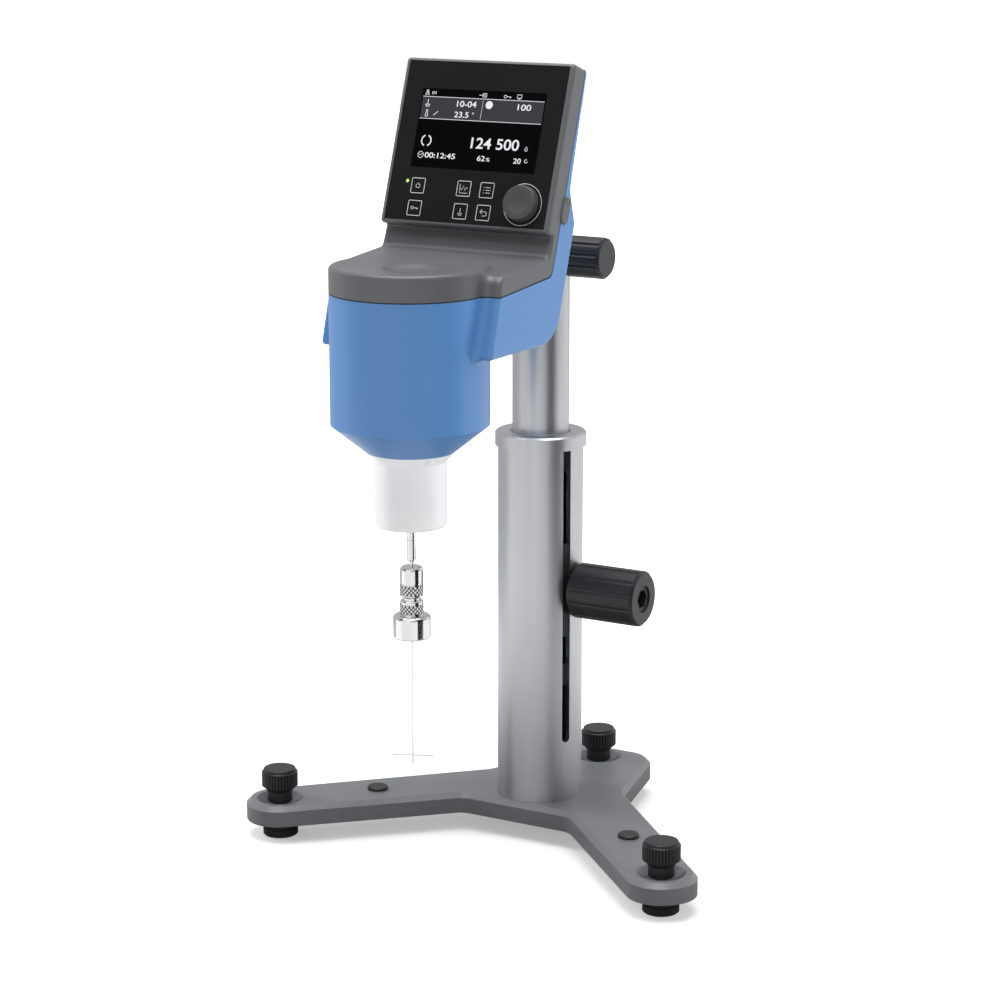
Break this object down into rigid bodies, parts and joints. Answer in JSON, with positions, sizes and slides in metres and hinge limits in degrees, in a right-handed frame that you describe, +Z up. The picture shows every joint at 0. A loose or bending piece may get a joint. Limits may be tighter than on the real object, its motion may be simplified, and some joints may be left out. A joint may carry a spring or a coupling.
{
  "type": "rotational viscometer",
  "caption": "Bench rotational viscometer: tilted display head on a telescopic column with a star base, levelling feet and a T-bar spindle.",
  "frame": {"origin": "middle of the object's footprint box at bench level, under the pads of the feet", "axes": "+Z up along the column, the display and spindle face -Y, +X to the right of a person facing the display"},
  "size_m": [0.3556, 0.3404, 0.5552],
  "materials": {
    "plate_paint": "satin grey powder coat",
    "black_plastic": "fine matt",
    "satin_aluminium": "satin anodised",
    "white_plastic": "plain",
    "steel": "brushed",
    "black_steel": "black oxide",
    "blue_housing": "satin blue paint",
    "grey_cover": "satin grey",
    "silver_nose": "satin silver",
    "polished_steel": "polished",
    "gloss_panel": "gloss black",
    "screen_module": "dark",
    "circuit_board": "solder mask",
    "green_lamp": "lit",
    "knob_grey": "satin",
    "soft_rubber": "matt",
    "black_rubber": "matt"
  },
  "bodies": {
    "stand": {"base_plate": "plate_paint", "leg_caps": "black_plastic", "column_tube": "satin_aluminium", "column_collar": "satin_aluminium", "guide_bush": "black_plastic", "column_plug": "steel", "column_bolt": "steel", "column_set_screw": "black_steel"},
    "lift": {"lift_tube": "satin_aluminium", "piston_bush": "black_plastic", "guide_key": "black_steel", "clamp_block": "satin_aluminium"},
    "column_clamp": {"column_knob": "black_plastic", "column_knob_screw": "black_steel", "clamp_tip": "white_plastic"},
    "rod_clamp": {"rod_knob": "black_plastic", "rod_knob_screw": "steel"},
    "head": {"housing": "blue_housing", "top_cover": "grey_cover", "seam_gasket": "black_rubber", "nose": "silver_nose", "nose_screw": "silver_nose", "support_rod": "polished_steel", "rod_bracket": "satin_aluminium", "chassis_plate": "satin_aluminium", "motor": "steel", "gear_unit": "steel", "torque_sensor": "satin_aluminium", "shaft_bearing": "steel", "front_panel": "gloss_panel", "display_module": "screen_module", "main_board": "circuit_board", "encoder_case": "black_plastic", "status_lamp": "green_lamp", "data_socket": "steel", "power_socket": "black_plastic", "probe_socket": "steel", "case_screws": "steel"},
    "spindle": {"drive_shaft": "polished_steel", "hook_link": "polished_steel", "chuck": "polished_steel", "weight": "polished_steel", "t_bar": "polished_steel"},
    "closer": {"closer": "polished_steel"},
    "encoder_push": {"encoder_shaft": "steel"},
    "encoder_turn": {"encoder_knob": "knob_grey"},
    "port_cover": {"port_cover": "soft_rubber"},
    "rear_foot": {"rear_foot_knob": "black_plastic", "rear_foot_stud": "steel", "rear_foot_pad": "black_rubber"},
    "left_foot": {"left_foot_knob": "black_plastic", "left_foot_stud": "steel", "left_foot_pad": "black_rubber"},
    "right_foot": {"right_foot_knob": "black_plastic", "right_foot_stud": "steel", "right_foot_pad": "black_rubber"}
  },
  "joints": [
    {"name": "column_lift", "type": "slide", "parent": "stand", "child": "lift", "axis": [0, 0, 1], "range_m": [-0.07, 0.046]},
    {"name": "column_clamp_turn", "type": "hinge", "parent": "stand", "child": "column_clamp", "pos_m": [0.031, 0.05565, 0.181], "axis": [1, 0, 0], "range_deg": [0, 270]},
    {"name": "rod_clamp_turn", "type": "hinge", "parent": "lift", "child": "rod_clamp", "pos_m": [0.021, 0.05565, 0.4184], "axis": [1, 0, 0], "range_deg": [0, 270]},
    {"name": "head_reach", "type": "slide", "parent": "lift", "child": "head", "axis": [0, 1, 0], "range_m": [-0.022, 0.03]},
    {"name": "spindle_turn", "type": "hinge", "parent": "head", "child": "spindle", "pos_m": [0, -0.11815, 0.25], "axis": [0, 0, 1], "continuous": true},
    {"name": "closer_turn", "type": "hinge", "parent": "spindle", "child": "closer", "pos_m": [0, -0.11815, 0.205], "axis": [0, 0, 1], "range_deg": [0, 360]},
    {"name": "encoder_press", "type": "slide", "parent": "head", "child": "encoder_push", "axis": [0, 0.9455, -0.3256], "range_m": [0, 0.0008], "stiffness_N_per_m": 1500},
    {"name": "encoder_turn", "type": "hinge", "parent": "encoder_push", "child": "encoder_turn", "pos_m": [0.0426, -0.04601, 0.46574], "axis": [0, -0.9455, 0.3256], "continuous": true},
    {"name": "port_cover_pull", "type": "slide", "parent": "head", "child": "port_cover", "axis": [1, 0, 0], "range_m": [0, 0.01]},
    {"name": "rear_foot_level", "type": "slide", "parent": "stand", "child": "rear_foot", "axis": [0, 0, 1], "range_m": [-0.003, 0.0014]},
    {"name": "left_foot_level", "type": "slide", "parent": "stand", "child": "left_foot", "axis": [0, 0, 1], "range_m": [-0.003, 0.0014]},
    {"name": "right_foot_level", "type": "slide", "parent": "stand", "child": "right_foot", "axis": [0, 0, 1], "range_m": [-0.003, 0.0014]}
  ]
}
